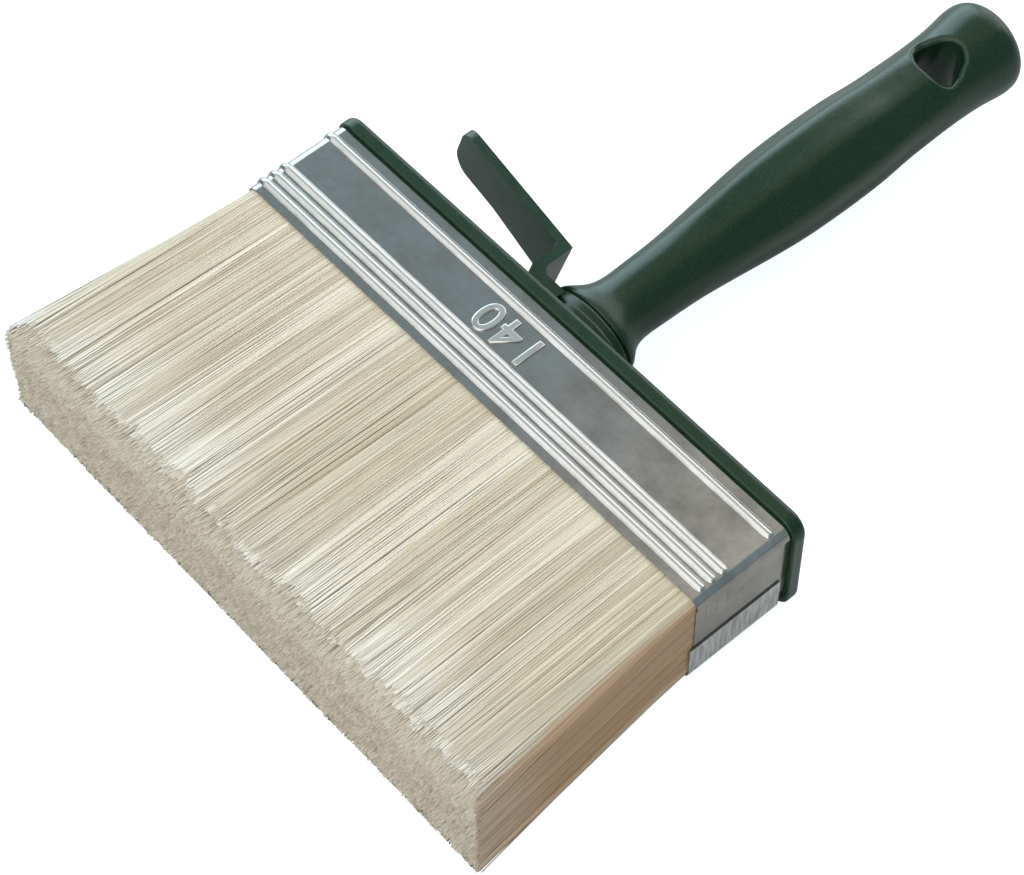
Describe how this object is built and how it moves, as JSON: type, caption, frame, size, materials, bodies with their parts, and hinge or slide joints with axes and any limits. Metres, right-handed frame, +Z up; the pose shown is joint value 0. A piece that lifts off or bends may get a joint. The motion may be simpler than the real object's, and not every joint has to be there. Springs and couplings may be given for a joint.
{
  "type": "block paint brush",
  "caption": "Wide block paint brush lying flat, with a ribbed lapped tin ferrule, moulded block with rim hook, and a faceted handle with a hanging hole.",
  "frame": {"origin": "on the surface the brush lies on, under the middle of its length and width", "axes": "+X across the width of the block, +Y along the brush to the end of the handle, +Z up from the broad side it lies on"},
  "size_m": [0.1498, 0.2224, 0.0302],
  "materials": {
    "grip_plastic": "satin, fine moulded grain, dark green",
    "block_plastic": "satin, dark green",
    "tinplate": "rolled tinplate, semi-bright",
    "setting_resin": "cast resin, amber",
    "strip_wood": "plain sawn softwood",
    "bristle": "cream filament, flagged ends"
  },
  "bodies": {
    "root": {"handle": "grip_plastic", "block": "block_plastic", "ferrule": "tinplate", "resin_setting": "setting_resin", "filler_strip_bottom": "strip_wood", "filler_strip_top": "strip_wood", "bristle_row_bottom": "bristle", "bristle_row_middle": "bristle", "bristle_row_top": "bristle"}
  },
  "joints": []
}
